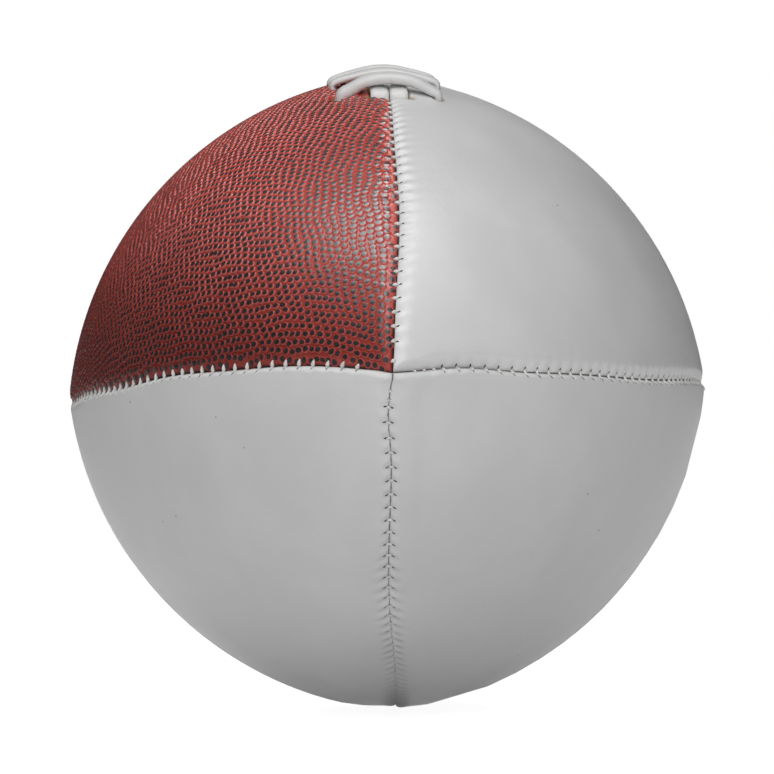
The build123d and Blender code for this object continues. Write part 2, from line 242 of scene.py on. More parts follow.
def hand_sewn(points):
    """Turns points about the long axis by the small drift of seams that were sewn by hand."""
    station = points[..., 1]
    along = station_to_along(station)
    start = smooth_step(0, 8, along) / np.maximum(seam_radius(station), 6)
    turns = []
    for seam in SEAM_ROUND:
        drifts = [reach * hill(along, middle, wide) for reach, middle, wide in SEAM_WANDER[seam]]
        turns.append(start * sum(drifts))
    turns = np.stack(turns + turns[:1], axis=-1)
    round_place = np.mod(np.arctan2(points[..., 0], points[..., 2]) / (math.pi / 2), 4)
    before = np.clip(np.floor(round_place), 0, 3).astype(int)
    share = smooth_step(0, 1, round_place - before)
    turn = np.take_along_axis(turns, before[..., None], -1)[..., 0] * (1 - share)
    turn = turn + np.take_along_axis(turns, before[..., None] + 1, -1)[..., 0] * share
    across = points[..., 0] * np.cos(turn) + points[..., 2] * np.sin(turn)
    height = points[..., 2] * np.cos(turn) - points[..., 0] * np.sin(turn)
    return np.stack([across, station, height], axis=-1)


def new_mesh(name, points, faces, smooth=True):
    """Mesh object from points in millimetres and one array of faces for each count of corners."""
    mesh = bpy.data.meshes.new(name)
    corners = np.concatenate([np.ravel(group) for group in faces]).astype(np.int32)
    sizes = np.concatenate([np.full(len(group), group.shape[1]) for group in faces])
    starts = np.concatenate([[0], np.cumsum(sizes)[:-1]]).astype(np.int32)
    mesh.vertices.add(len(points))
    mesh.vertices.foreach_set("co", np.ravel(points * MM).astype(np.float32))
    mesh.loops.add(len(corners))
    mesh.loops.foreach_set("vertex_index", corners)
    mesh.polygons.add(len(sizes))
    mesh.polygons.foreach_set("loop_start", starts)
    mesh.update(calc_edges=True)
    mesh.polygons.foreach_set("use_smooth", np.full(len(sizes), smooth))
    mesh.validate()
    thing = bpy.data.objects.new(name, mesh)
    bpy.context.scene.collection.objects.link(thing)
    return thing


def add_values(thing, name, values):
    """Named number for each point of a mesh, which its material reads."""
    layer = thing.data.attributes.new(name, "FLOAT", "POINT")
    layer.data.foreach_set("value", np.ravel(values).astype(np.float32))


# Columns of a panel: distances from a seam, from the laced seam and from the panel's middle.
ROLLED_EDGE = [0, 0.1, 0.25, 0.45, 0.7, 1.0, 1.35, 1.75, 2.2, 2.8, 3.6]
NEAR_SEAM = ROLLED_EDGE + [4.8, 6.5, 9.0]
NEAR_LACES = ROLLED_EDGE + [
    4.6, 5.2, 5.6, 6.0, 6.5, 7.4, 9.0, 10.4, 11.2, 11.6, 12.0, 12.4, 12.9, 13.5, 14.0, 14.4, 14.8,
    15.3, 16.4,
]
PLAIN_MIDDLE = [4.0 * step for step in range(16)]
VALVE_MIDDLE = [0.5 * step for step in range(15)] + [8.0, 9.5, 12.0, 17.0, 24.0, 32.0, 41.0]
PANEL_ROWS = 541
# Back of a panel: its columns, its depth below the face, and that of the turned-in flanges.
BACK_COLUMNS = 9
BACK_DEPTH = LEATHER + 0.6
FLANGE_DEPTH = 4.5


def panel_columns(station, near, middle):
    """Distances from a seam to the columns of half a panel, one row for each station.

    near counts from the seam and middle from the middle of the panel.
    """
    start = np.arcsin(OWN_AXIS / round_radius(station))
    half = round_radius(station) * (math.pi / 4 - start)
    widest = round_radius(0.0) * (math.pi / 4 - math.asin(OWN_AXIS / round_radius(0.0)))
    near = np.array(near)
    middle = np.array([value for value in middle if value < 0.9 * (widest - near[-1])])[::-1]
    squeeze = np.minimum(1, 0.6 * half / near[-1])
    close = near[None, :] * squeeze[:, None]
    shrink = (half - close[:, -1]) / (widest - near[-1])
    wide = half[:, None] - middle[None, :] * shrink[:, None]
    return np.concatenate([close, wide], axis=1)


# Painted shade in the bottom of each seam: how dark near the photographed nose and further on.
SEAM_DARK = {"top": (1.0, 1.0), "right": (1.0, 0.9), "bottom": (0.85, 0.15), "left": (1.0, 1.0)}
# Width of the painted seam shade on white leather.
WHITE_GROOVE = 0.46


def painted_seam_shade(first, second, along, away, groove_width):
    """Painted shade of a panel in its seams and in the creases beside the bottom one, from 0 to 1.
    """
    seam_shade = np.zeros_like(away[first])
    near_nose = smooth_step(60, 30, along)[:, None]
    wide = (groove_width * (1 + 0.5 * smooth_step(16, 8, along)))[:, None]
    for seam in (first, second):
        at_nose, further = SEAM_DARK[seam]
        dark = further + (at_nose - further) * near_nose
        # Along the bottom seam the painted shade breaks into dashes between the ties.
        if seam == "bottom":
            shift = 0.4 if seam == first else -0.4
            dashes = np.cos(4 * math.pi * (along - FIRST_STITCH[seam]) / STITCH_PITCH + shift)
            dark = dark * (1 - smooth_step(5, 8, along) * (0.45 - 0.45 * dashes))[:, None]
        seam_shade = np.maximum(seam_shade, dark * smooth_step(wide, 0.25 * wide, away[seam]))
        # Painted shade in the pucker creases beside the bottom seam, stronger further round.
        if seam == "bottom":
            pull = np.clip(thread_pull(seam, along[:, None], away[seam]), 0, 1)
            crease_shade = pull**2 * hill(away[seam], 1.1, 1.4)
            crease_shade_strength = 0.22 * smooth_step(40, 60, along) + 0.25 * smooth_step(70, 95, along)
            seam_shade = np.maximum(seam_shade, crease_shade_strength[:, None] * crease_shade)
    return seam_shade


def panel_grid(first, second, middle=PLAIN_MIDDLE, groove_width=WHITE_GROOVE):
    """One closed panel: its face, both rolled edges, its turned-in flanges and its back.

    Returns its points and faces, and for each point the painted shade of the seam groove, the
    nearness to a raw cut edge and the distance to a seam.
    """
    along = np.linspace(0.25, SEAM_LENGTH - 0.25, PANEL_ROWS)
    station = along_to_station(along)
    start = np.arcsin(OWN_AXIS / round_radius(station))[:, None]
    radius = round_radius(station)[:, None]
    left, right = (
        panel_columns(station, NEAR_LACES if seam == "top" else NEAR_SEAM, middle)
        for seam in (first, second)
    )
    far_side = math.pi / 2 - start
    angle = np.concatenate([start + left / radius, far_side - right[:, -2::-1] / radius], axis=1)
    spread = np.repeat(station[:, None], angle.shape[1], axis=1)
    face, normal = panel_face(first, second, spread, angle)
    away = {first: (angle - start) * radius, second: (far_side - angle) * radius}
    dip = joint_dip(
        seam_dip(first, 1, along[:, None], away[first]),
        seam_dip(second, -1, along[:, None], away[second]),
    )
    raw = np.zeros_like(dip)
    if "top" in away:
        hole, slot = lace_cuts(spread, away["top"])
        raw = np.maximum(hill(hole, 0.98, 0.16), hill(slot, 1.0, 0.1))
        bed_edge = smooth_step(5.7, 5.3, away["top"]) * (np.abs(spread) < STRAND_END + 1)
        raw = np.maximum(raw, bed_edge)
    valve = np.linalg.norm(face - face @ VALVE_OUT[:, None] * VALVE_OUT, axis=-1)
    valve = np.where(face @ VALVE_OUT > 0, valve, HALF_LENGTH)
    dip = np.maximum(dip, VALVE_DEPTH * smooth_step(VALVE_HOLE + 0.4, VALVE_HOLE - 0.2, valve))
    outer = face - normal * dip[..., None]
    back = np.linspace(angle.shape[1] - 1, 0, BACK_COLUMNS).astype(int)
    deep = np.full(BACK_COLUMNS, BACK_DEPTH)
    deep[0] = deep[-1] = FLANGE_DEPTH
    inner = face[:, back] - normal[:, back] * deep[None, :, None]
    ring = np.concatenate([outer, inner], axis=1)
    for seam in (first, second):
        out = np.array(SEAM_OUT[seam], float)
        ring = ring + np.clip(SEAM_GAP - ring @ out, 0, None)[..., None] * out
    index = np.arange(ring.shape[0] * ring.shape[1]).reshape(ring.shape[:2])
    side = np.roll(index, -1, axis=1)
    quads = np.stack([index[:-1], side[:-1], side[1:], index[1:]], axis=-1).reshape(-1, 4)
    caps = [index[0][::-1][None, :], index[-1][None, :]]
    seam_shade = painted_seam_shade(first, second, along, away, groove_width)
    edge = np.minimum(away[first], away[second])
    hidden = np.zeros((PANEL_ROWS, BACK_COLUMNS))
    # The hidden back and flanges take full painted seam shade.
    seam_shade = np.concatenate([seam_shade, hidden + 1], axis=1)
    raw = np.concatenate([raw, hidden], axis=1)
    edge = np.concatenate([edge, hidden], axis=1)
    return ring.reshape(-1, 3), [quads, *caps], seam_shade.ravel(), raw.ravel(), edge.ravel()


def node(tree, kind, inputs=None, **settings):
    """Adds a shader node, sets its settings and fills or links its inputs."""
    made = tree.nodes.new(kind)
    for key, value in settings.items():
        setattr(made, key, value)
    for key, value in (inputs or {}).items():
        if isinstance(value, bpy.types.NodeSocket):
            tree.links.new(value, made.inputs[key])
        else:
            made.inputs[key].default_value = value
    return made


def new_material(name):
    """Empty node material with its output node."""
    material = bpy.data.materials.new(name)
    material.use_nodes = True
    tree = material.node_tree
    tree.nodes.clear()
    return material, tree, tree.nodes.new("ShaderNodeOutputMaterial")


def mixed(tree, share, low, high):
    """Colour between two colours or colour sockets."""
    blend = node(tree, "ShaderNodeMix", {0: share, 6: low, 7: high}, data_type="RGBA")
    return blend.outputs[2]


def eased(tree, value, low, high, to_low=0.0, to_high=1.0):
    """Number eased from one range to another."""
    ranged = node(tree, "ShaderNodeMapRange", {
        "Value": value, "From Min": low, "From Max": high, "To Min": to_low, "To Max": to_high
    }, interpolation_type="SMOOTHSTEP")
    return ranged.outputs[0]


def noise(tree, scale, detail):
    """Value of a noise that is fixed to the object, with scale in cycles to the metre."""
    place = node(tree, "ShaderNodeTexCoord").outputs["Object"]
    inputs = {"Vector": place, "Scale": scale, "Detail": detail}
    return node(tree, "ShaderNodeTexNoise", inputs).outputs["Fac"]


def mottled(tree, cloud, low, high):
    """Colour that drifts between two as a noise does."""
    return mixed(tree, eased(tree, cloud, 0.3, 0.7), low, high)


def maths(tree, operation, first, second):
    """Result of one operation on two numbers."""
    return node(tree, "ShaderNodeMath", {0: first, 1: second}, operation=operation).outputs[0]


def uneven_face(tree, height, strength, distance, **more):
    """Normal of a finely uneven face, with the size of its unevenness in metres."""
    inputs = {"Height": height, "Strength": strength, "Distance": distance, **more}
    return node(tree, "ShaderNodeBump", inputs).outputs[0]


def surface(material, tree, out, colour, roughness, **more):
    """Ends a material with its surface; other inputs are named with _ for each space."""
    inputs = {"Base Color": colour, "Roughness": roughness}
    inputs.update({key.replace("_", " "): value for key, value in more.items()})
    shader = node(tree, "ShaderNodeBsdfPrincipled", inputs)
    tree.links.new(shader.outputs[0], out.inputs[0])
    return material


def value_of(tree, name):
    """Value that the mesh holds at each point under this name."""
    return node(tree, "ShaderNodeAttribute", attribute_name=name).outputs["Fac"]


def white_leather(name, sheen, smoothest, roughest):
    """Smooth finished leather: faint grain and pores, painted seam shade, tan where it is cut."""
    material, tree, out = new_material(name)
    place = node(tree, "ShaderNodeTexCoord").outputs["Object"]
    cloud = noise(tree, 38.0, 4.0)
    pores, speck = (
        node(tree, "ShaderNodeTexVoronoi", {"Vector": place, "Scale": scale}).outputs["Distance"]
        for scale in (1150.0, 105.0)
    )
    drift = eased(tree, cloud, 0.35, 0.65)
    colour = mixed(tree, drift, (0.70, 0.70, 0.70, 1), (0.74, 0.74, 0.74, 1))
    colour = mixed(tree, eased(tree, speck, 0.04, 0.028), colour, (0.40, 0.39, 0.38, 1))
    # Painted shade in the seam grooves.
    colour = mixed(tree, value_of(tree, "seam_shade"), colour, (0.075, 0.05, 0.036, 1))
    colour = mixed(tree, value_of(tree, "raw"), colour, (0.30, 0.19, 0.09, 1))
    grain = uneven_face(tree, noise(tree, 620.0, 5.0), 0.3, 0.00010)
    grain = uneven_face(tree, pores, 0.2, 0.00008, Normal=grain)
    rough = eased(tree, cloud, 0.3, 0.7, smoothest, roughest)
    return surface(material, tree, out, colour, rough, Normal=grain, Specular_IOR_Level=sheen)


# The lower panels have less sheen than the upper one, because they face the bright floor.
leather_white = white_leather("white_leather", 0.15, 0.44, 0.54)
leather_polished = white_leather("white_leather_polished", 0.55, 0.36, 0.44)
for name, node_name, first, second, middle, leather in (
    ("white_panel_upper", "white_cover_panel_upper",
     "top", "right", PLAIN_MIDDLE, leather_polished),
    ("white_panel_lower_left", "white_cover_panel_lower_left",
     "bottom", "left", PLAIN_MIDDLE, leather_white),
    ("white_panel_lower_right", "white_cover_panel_lower_right",
     "right", "bottom", VALVE_MIDDLE, leather_white),
):
    points, faces, seam_shade, raw, edge = panel_grid(first, second, middle)
    panel = new_mesh(name, hand_sewn(points), faces)
    add_values(panel, "seam_shade", seam_shade)
    add_values(panel, "raw", raw)
    panel.data.materials.append(leather)
    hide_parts(node_name)
    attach(panel, "root")

# Brown panel. Pebbled leather: the hide is pressed with thousands of small round pebbles and
# their tops are inked black, which leaves the red-brown hide showing between them.
PEBBLE_PITCH = 2.1
PEBBLE_ROW = 0.866
PEBBLE_SCATTER = 0.11
PEBBLE_FIELD_HALF = 75
PEBBLE_SIDES = 8
# Rings of a pebble from its foot to its middle: radius, height, share of ink, painted crease shade.
PEBBLE_SHAPE = (
    (1.10, -0.05, 0.0, 1.0),
    (0.94, 0.16, 0.0, 0.25),
    (0.75, 0.38, 0.8, 0.0),
    (0.0, 0.44, 1.0, 0.0),
)
# Distances from a seam between which the pressing fades in. Where there is none, ink lies flat.
PRESSED_FROM = (0.8, 3.6)
FLAT_INK = 0.03
# Width of the painted seam shade on brown leather.
BROWN_GROOVE = 1.0


def pebble_places(random):
    """Station, angle about the panel's axis and distance to both seams, for each pebble."""
    mid_along = np.concatenate(
        [[0], np.cumsum(np.hypot(np.diff(fine_station), np.diff(round_radius(fine_station))))]
    )
    columns = int(PEBBLE_FIELD_HALF / PEBBLE_PITCH)
    lines = int(mid_along[-1] / (PEBBLE_PITCH * PEBBLE_ROW))
    line, column = np.meshgrid(np.arange(lines), np.arange(-columns, columns + 1), indexing="ij")
    run = (line * PEBBLE_PITCH * PEBBLE_ROW).ravel()
    across = ((column + 0.5 * (line % 2)) * PEBBLE_PITCH).ravel()
    bend = 0.5 * np.sin(0.55 * across + 0.9 * np.sin(run / 14)) + 1.5 * np.sin(across / 11)
    sway = 0.3 * np.sin(0.45 * run + 1.1 * np.sin(across / 13)) + 1.3 * np.sin(run / 12.5)
    run = run + bend + random.normal(0, PEBBLE_SCATTER, run.shape)
    across = across + sway + random.normal(0, PEBBLE_SCATTER, run.shape)
    station = np.interp(run, mid_along, fine_station)
    radius = round_radius(station)
    start = np.arcsin(OWN_AXIS / radius)
    angle = math.pi / 4 + across / radius
    to_left = (angle - start) * radius
    to_top = (math.pi / 2 - start - angle) * radius
    keep = (np.minimum(to_left, to_top) > PRESSED_FROM[0]) & (run > 1) & (run < mid_along[-1] - 1)
    hole, slot = lace_cuts(station, to_top)
    keep &= (hole > 1.5) & (slot > 1.3) & ((np.abs(station) > STRAND_END) | (to_top > 7.6))
    return station[keep], angle[keep], to_left[keep], to_top[keep]


def pebbled_leather():
    """Red-brown hide with inked pebble tops, painted shade in creases and seam, tan where cut."""
    material, tree, out = new_material("pebbled_leather")
    rough = noise(tree, 1600.0, 3.0)
    hide = mottled(tree, noise(tree, 45.0, 3.0), (0.62, 0.098, 0.078, 1), (0.72, 0.124, 0.100, 1))
    # Painted shade in the creases between the pebbles.
    shaded = eased(tree, value_of(tree, "deep"), 0.0, 1.0, 0.0, 0.45)
    hide = mixed(tree, shaded, hide, (0.14, 0.014, 0.011, 1))
    # Painted shade: the hide darkens towards the lower left, away from the laces.
    place = node(tree, "ShaderNodeTexCoord").outputs["Object"]
    slope = {0: place, 1: (0.5, 0.0, 1.0)}
    to_laces = node(tree, "ShaderNodeVectorMath", slope, operation="DOT_PRODUCT").outputs["Value"]
    shade_low_down = eased(tree, to_laces, -0.030, 0.040, 0.8, 0.0)
    hide = mixed(tree, shade_low_down, hide, (0.09, 0.010, 0.006, 1))
    worn = maths(tree, "MULTIPLY", rough, 0.35)
    inked = eased(tree, maths(tree, "ADD", value_of(tree, "ink"), worn), 0.92, 1.0)
    tops = mottled(tree, rough, (0.016, 0.014, 0.016, 1), (0.036, 0.032, 0.034, 1))
    colour = mixed(tree, inked, hide, tops)
    # Painted shade in the seam grooves.
    colour = mixed(tree, value_of(tree, "seam_shade"), colour, (0.03, 0.012, 0.01, 1))
    colour = mixed(tree, value_of(tree, "raw"), colour, (0.28, 0.17, 0.08, 1))
    hide_gloss = eased(tree, to_laces, -0.012, 0.030, 0.05, 0.28)
    ink_gloss = eased(tree, to_laces, -0.005, 0.036, 0.05, 0.80)
    gloss = eased(tree, inked, 0.0, 1.0, hide_gloss, ink_gloss)
    roughness = eased(tree, inked, 0.0, 1.0, 0.30, 0.35)
    grain = uneven_face(tree, rough, 0.25, 0.00008)
    return surface(
        material, tree, out, colour, roughness, Normal=grain, Specular_IOR_Level=gloss, IOR=1.8
    )


random = np.random.default_rng(11)
leather_brown = pebbled_leather()
points, faces, seam_shade, raw, edge = panel_grid("left", "top", groove_width=BROWN_GROOVE)
brown_panel = new_mesh("brown_panel", hand_sewn(points), faces)
add_values(brown_panel, "seam_shade", seam_shade)
add_values(brown_panel, "raw", raw)
add_values(brown_panel, "ink", np.zeros(len(points)))
# Painted shade on the hide between the pebbles, where it is pressed.
add_values(brown_panel, "deep", smooth_step(*PRESSED_FROM, edge))
brown_panel.data.materials.append(leather_brown)
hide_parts("brown_cover_panel")
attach(brown_panel, "root")

station, angle, to_left, to_top = pebble_places(random)
size = 1 + 0.06 * np.clip(random.normal(0, 1, len(station)), -2, 2)
stretch = 1 + 0.08 * np.clip(random.normal(0, 1, len(station)), -2, 2)
twist = random.uniform(0, 2 * math.pi, len(station))
pressed = smooth_step(*PRESSED_FROM, np.minimum(to_left, to_top))
rings, ink, deep = [], [], []
turn = np.linspace(0, 2 * math.pi, PEBBLE_SIDES, endpoint=False)
for reach, rise, dark, crease_shade in PEBBLE_SHAPE:
    spin = (turn if reach else turn[:1])[None, :] + twist[:, None]
    east = (size * stretch)[:, None] * reach * np.cos(spin)
    north = (size / stretch)[:, None] * reach * np.sin(spin)
    spread = station[:, None] + east / np.sqrt(1 + round_slope(station)[:, None] ** 2)
    round_about = angle[:, None] + north / round_radius(station)[:, None]
    start = np.arcsin(OWN_AXIS / round_radius(spread))
    radius = round_radius(spread)
    from_left = np.maximum((round_about - start) * radius, 0)
    from_top = np.maximum((math.pi / 2 - start - round_about) * radius, 0)
    along = station_to_along(spread)
    dip = joint_dip(seam_dip("left", 1, along, from_left), seam_dip("top", -1, along, from_top))
    foot, up = panel_face("left", "top", spread, round_about)
    lift = (rise * pressed + FLAT_INK if rise > 0 else np.full(len(pressed), rise))[:, None]
    rings.append(foot + (lift - dip)[..., None] * up)
    ink.append(np.full(spread.shape, dark))
    # Painted crease shade at each ring of the pebble.
    deep.append(np.repeat(crease_shade * pressed[:, None], spread.shape[1], axis=1))
pebbles, ink, deep = (np.concatenate(values, axis=1) for values in (rings, ink, deep))
one = np.arange(PEBBLE_SIDES)
two = np.roll(one, -1)
top_ring = PEBBLE_SIDES * (len(PEBBLE_SHAPE) - 2)
band = np.stack([one, two, two + PEBBLE_SIDES, one + PEBBLE_SIDES], axis=1)
wall = np.concatenate([band + ring for ring in range(0, top_ring, PEBBLE_SIDES)])
middle = np.full(PEBBLE_SIDES, top_ring + PEBBLE_SIDES)
lid = np.stack([one + top_ring, two + top_ring, middle], axis=1)
for name, part in (("pebbles_front", station < 0), ("pebbles_rear", station >= 0)):
    points = pebbles[part]
    base = np.arange(len(points))[:, None, None] * points.shape[1]
    faces = [(base + wall).reshape(-1, 4), (base + lid).reshape(-1, 3)]
    grain = new_mesh(name, hand_sewn(points.reshape(-1, 3)), faces)
    smooth_walls = np.repeat([True, False], [len(group) for group in faces])
    grain.data.polygons.foreach_set("use_smooth", smooth_walls)
    add_values(grain, "seam_shade", np.zeros(points.shape[:2]))
    add_values(grain, "raw", np.zeros(points.shape[:2]))
    add_values(grain, "ink", ink[part])
    add_values(grain, "deep", deep[part])
    grain.data.materials.append(leather_brown)
    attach(grain, "root")

# Seam stitches. White waxed thread crosses each seam in short rungs and goes down through an
# awl hole in each rolled edge. On white leather it is pulled in so far that the hole shows; the
# hole and the thread's shadow are drawn as dark slits of painted shade.
THREAD_RADIUS = 0.46
STITCH_SIDES = 8
BROWN_HAND = {"left": 1, "top": -1}


def tube(path, radius, side_way, sides):
    """Points of a round tube along one path, with a radius at each point of it."""
    way = np.gradient(path, axis=0)
    way /= np.linalg.norm(way, axis=1)[:, None]
    flat = side_way - way * (way @ side_way)[:, None]
    flat /= np.linalg.norm(flat, axis=1)[:, None]
    high = np.cross(way, flat)
    turn = np.linspace(0, 2 * math.pi, sides, endpoint=False)
    ring = np.cos(turn)[None, :, None] * flat[:, None] + np.sin(turn)[None, :, None] * high[:, None]
    return path[:, None] + ring * radius[:, None, None]


def tube_faces(rows, sides, base):
    """Quads of a tube and the two faces that close its ends."""
    index = base + np.arange(rows * sides).reshape(rows, sides)
    side = np.roll(index, -1, axis=1)
    quads = np.stack([index[:-1], side[:-1], side[1:], index[1:]], axis=-1).reshape(-1, 4)
    return quads, np.stack([index[0][::-1], index[-1]])


def join_tubes(tubes):
    """All points, quads and end faces of several tubes."""
    points, quads, ends = [], [], []
    base = 0
    for made in tubes:
        wall, caps = tube_faces(made.shape[0], made.shape[1], base)
        points.append(made.reshape(-1, 3))
        quads.append(wall)
        ends.append(caps)
        base += made.shape[0] * made.shape[1]
    return np.concatenate(points), [np.concatenate(quads), np.concatenate(ends)]


def on_cover(seam, hand, along, away, lift):
    """Points that stand a lift over the leather on one hand of a seam: 1 is clockwise of it."""
    place = SEAM_ROUND.index(seam)
    station = along_to_station(along)
    radius = round_radius(station)
    start = np.arcsin(OWN_AXIS / radius)
    if hand > 0:
        angle = start + away / radius
        points, normals = panel_face(seam, SEAM_ROUND[(place + 1) % 4], station, angle)
    else:
        angle = math.pi / 2 - start - away / radius
        points, normals = panel_face(SEAM_ROUND[place - 1], seam, station, angle)
    return points + normals * (lift - seam_dip(seam, hand, along, away))[:, None]


def waxed_thread():
    """Twisted white thread with a waxy sheen and a little dirt."""
    material, tree, out = new_material("waxed_thread")
    dirt = noise(tree, 260.0, 3.0)
    colour = mottled(tree, dirt, (0.66, 0.65, 0.63, 1), (0.78, 0.775, 0.765, 1))
    twist = uneven_face(tree, noise(tree, 2600.0, 2.0), 0.5, 0.00015)
    return surface(material, tree, out, colour, 0.5, Normal=twist, Specular_IOR_Level=0.3)


def painted_hole_shade():
    """Painted shade of a stitch hole and of the thread beside it: a dark slit."""
    material, tree, out = new_material("painted_hole_shade")
    dirt = noise(tree, 400.0, 2.0)
    colour = mottled(tree, dirt, (0.05, 0.038, 0.03, 1), (0.12, 0.10, 0.085, 1))
    return surface(material, tree, out, colour, 0.9, Specular_IOR_Level=0.1)


thread_white = waxed_thread()
hole_shade = painted_hole_shade()
# Half a rung: distance from the seam, lift over the leather and share of the thread's radius.
ON_BROWN = np.array([
    (0.0, 0.9, 1.1), (0.45, 0.45, 1.15), (0.9, 0.30, 0.98), (1.4, 0.16, 0.68), (1.8, 0.0, 0.38),
    (2.1, -0.35, 0.2),
])
ON_WHITE = np.array([
    (0.0, 0.75, 0.75), (0.4, 0.26, 0.75), (0.75, 0.04, 0.62), (1.1, -0.10, 0.48),
    (1.5, -0.35, 0.36),
])
# Rungs on brown leather show as teeth: their length as a share of a whole one, and their slant.
TOOTH_REACH = {"left": 0.82, "top": 0.62}
TOOTH_SLANT = {"left": 0.04, "top": 0.1}
# Small first stitches of a seam, crowded into the nose.
NOSE_STITCHES = {"top": (3.4,), "right": (6.0, 8.4, 10.9), "bottom": (4.9, 7.0), "left": ()}
# Awl holes in white leather: dark slits of painted shade, with these distances from the seam and
# radii, and the edges where they are fainter.
SLIT_AWAY = np.array([0.35, 0.8, 1.25, 1.6])
SLIT_RADIUS = np.array([0.08, 0.16, 0.26, 0.10])
SLIT_LIFT = np.full(len(SLIT_AWAY), -0.05)
SLIT_BEFORE = 0.24
FAINT_SLITS = {("left", -1): 0.6, ("right", 1): 0.6}
ALONG_BALL = np.array([0.0, 1.0, 0.0])
for seam in SEAM_ROUND:
    places = np.arange(FIRST_STITCH[seam], SEAM_LENGTH - 5, STITCH_PITCH)
    places = np.concatenate([NOSE_STITCHES[seam], places])
    if seam == "top":
        places = places[np.abs(along_to_station(places)) > STRAND_END + 2.5]
    rungs, slits = [], []
    for place in places:
        halves, thick = [], []
        for hand in (-1, 1):
            brown = BROWN_HAND.get(seam) == hand
            away, lift, share = (ON_BROWN if brown else ON_WHITE).T
            reach = TOOTH_REACH[seam] if brown else 1.0
            if place < FIRST_STITCH[seam]:
                reach = 0.5
            away = away * reach * (1 + random.normal(0, 0.06))
            slant = (TOOTH_SLANT[seam] if brown else STITCH_SLANT) + random.normal(0, 0.06)
            halves.append(on_cover(seam, hand, place + slant * away, away, lift))
            thick.append(share)
            if not brown:
                faint = FAINT_SLITS.get((seam, hand), 1.0)
                far = SLIT_AWAY * reach * (0.5 + 0.5 * faint)
                slit = on_cover(seam, hand, place - SLIT_BEFORE + slant * far, far, SLIT_LIFT)
                narrow = reach * (0.55 + 0.45 * smooth_step(85, 55, place)) * faint
                slits.append(tube(slit, narrow * SLIT_RADIUS, ALONG_BALL, STITCH_SIDES))
        path = np.concatenate([halves[0][:0:-1], halves[1][1:]])
        thick = np.concatenate([thick[0][:0:-1], thick[1][1:]])
        rungs.append(tube(path, THREAD_RADIUS * thick, ALONG_BALL, STITCH_SIDES))
    points, faces = join_tubes(rungs + slits)
    stitches = new_mesh(f"seam_stitches_{seam}", hand_sewn(points), faces)
    quads = [STITCH_SIDES * (len(piece) - 1) for piece in rungs + slits]
    kind = np.repeat([0, 1], [len(rungs), len(slits)])
    kinds = np.concatenate([np.repeat(kind, quads), np.repeat(kind, 2)]).astype(np.int32)
    stitches.data.polygons.foreach_set("material_index", kinds)
    stitches.data.materials.append(thread_white)
    stitches.data.materials.append(hole_shade)
    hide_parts(f"seam_thread_{seam}")
    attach(stitches, "root")

# Laces. Soft white straps: two lie lengthwise along the slit and dive into it at both ends,
# and one crosses over them eight times, down through a hole on either side.
STRAP_SIDES = 20
STRAP_THICK = 1.9
BAR_WIDTH = 5.9
BAR_CROWN = 2.1
BAR_ROUNDNESS = 0.8
BAR_POINTS = 81
STRAND_WIDTH = 4.8
STRAND_SINK = -0.25
STRAND_ROUNDNESS = 0.75
STRAND_POINTS = 170
# The foremost bar is thicker and higher, and tucked in at its right and left end.
FRONT_THICK = 2.9
FRONT_CROWN = 2.9
FRONT_TUCK = (1.0, 2.0)


def strap(path, wide_way, width, thickness, roundness):
    """Points of a soft flat strap along a path; its section is 1 for round down to 0 for boxy."""
    way = np.gradient(path, axis=0)
    way /= np.linalg.norm(way, axis=1)[:, None]
    flat = wide_way - way * (way @ wide_way)[:, None]
    flat /= np.linalg.norm(flat, axis=1)[:, None]
    high = np.cross(way, flat)
    turn = np.linspace(0, 2 * math.pi, STRAP_SIDES, endpoint=False) + math.pi / STRAP_SIDES
    across = np.sign(np.cos(turn)) * np.abs(np.cos(turn)) ** roundness / 2
    lift = np.sign(np.sin(turn)) * np.abs(np.sin(turn)) ** roundness / 2
    ring = (across[None, :] * width)[..., None] * flat[:, None]
    return path[:, None] + ring + (lift[None, :] * thickness[:, None])[..., None] * high[:, None]


def smooth_path(knots, count):
    """Evenly spaced points of a smooth curve that rounds the corners of a line of knots."""
    for _ in range(4):
        near = 0.75 * knots[:-1] + 0.25 * knots[1:]
        far = 0.25 * knots[:-1] + 0.75 * knots[1:]
        cut = np.stack([near, far], axis=1).reshape(-1, knots.shape[1])
        knots = np.concatenate([knots[:1], cut, knots[-1:]])
    done = np.concatenate([[0], np.cumsum(np.linalg.norm(np.diff(knots, axis=0), axis=1))])
    stops = np.linspace(0, done[-1], count)
    return np.stack([np.interp(stops, done, column) for column in knots.T], axis=1)


def lace_vinyl():
    """White lace stock: satin, faintly grained, greyed a little by handling."""
    material, tree, out = new_material("lace_vinyl")
    handling = noise(tree, 120.0, 4.0)
    colour = mottled(tree, handling, (0.70, 0.70, 0.695, 1), (0.77, 0.77, 0.765, 1))
    grain = uneven_face(tree, noise(tree, 1300.0, 4.0), 0.3, 0.00012)
    return surface(material, tree, out, colour, 0.45, Normal=grain, Specular_IOR_Level=0.35)


def top_frame(station):
    """Point on the top seam's ridge, with the ways along it and out of it."""
    rise = float(seam_radius(station + 0.05) - seam_radius(station - 0.05)) / 0.1
    along_way = np.array([0.0, 1.0, rise]) / math.hypot(1, rise)
    out_way = np.array([0.0, -along_way[2], along_way[1]])
    return np.array([0.0, station, float(seam_radius(station))]), along_way, out_way


def panel_drop(side, station):
    """How far the cover lies below the top seam's ridge, to one side of it."""
    radius = round_radius(station)
    return float(seam_radius(station) - (np.sqrt(radius**2 - (side + OWN_AXIS) ** 2) - OWN_AXIS))


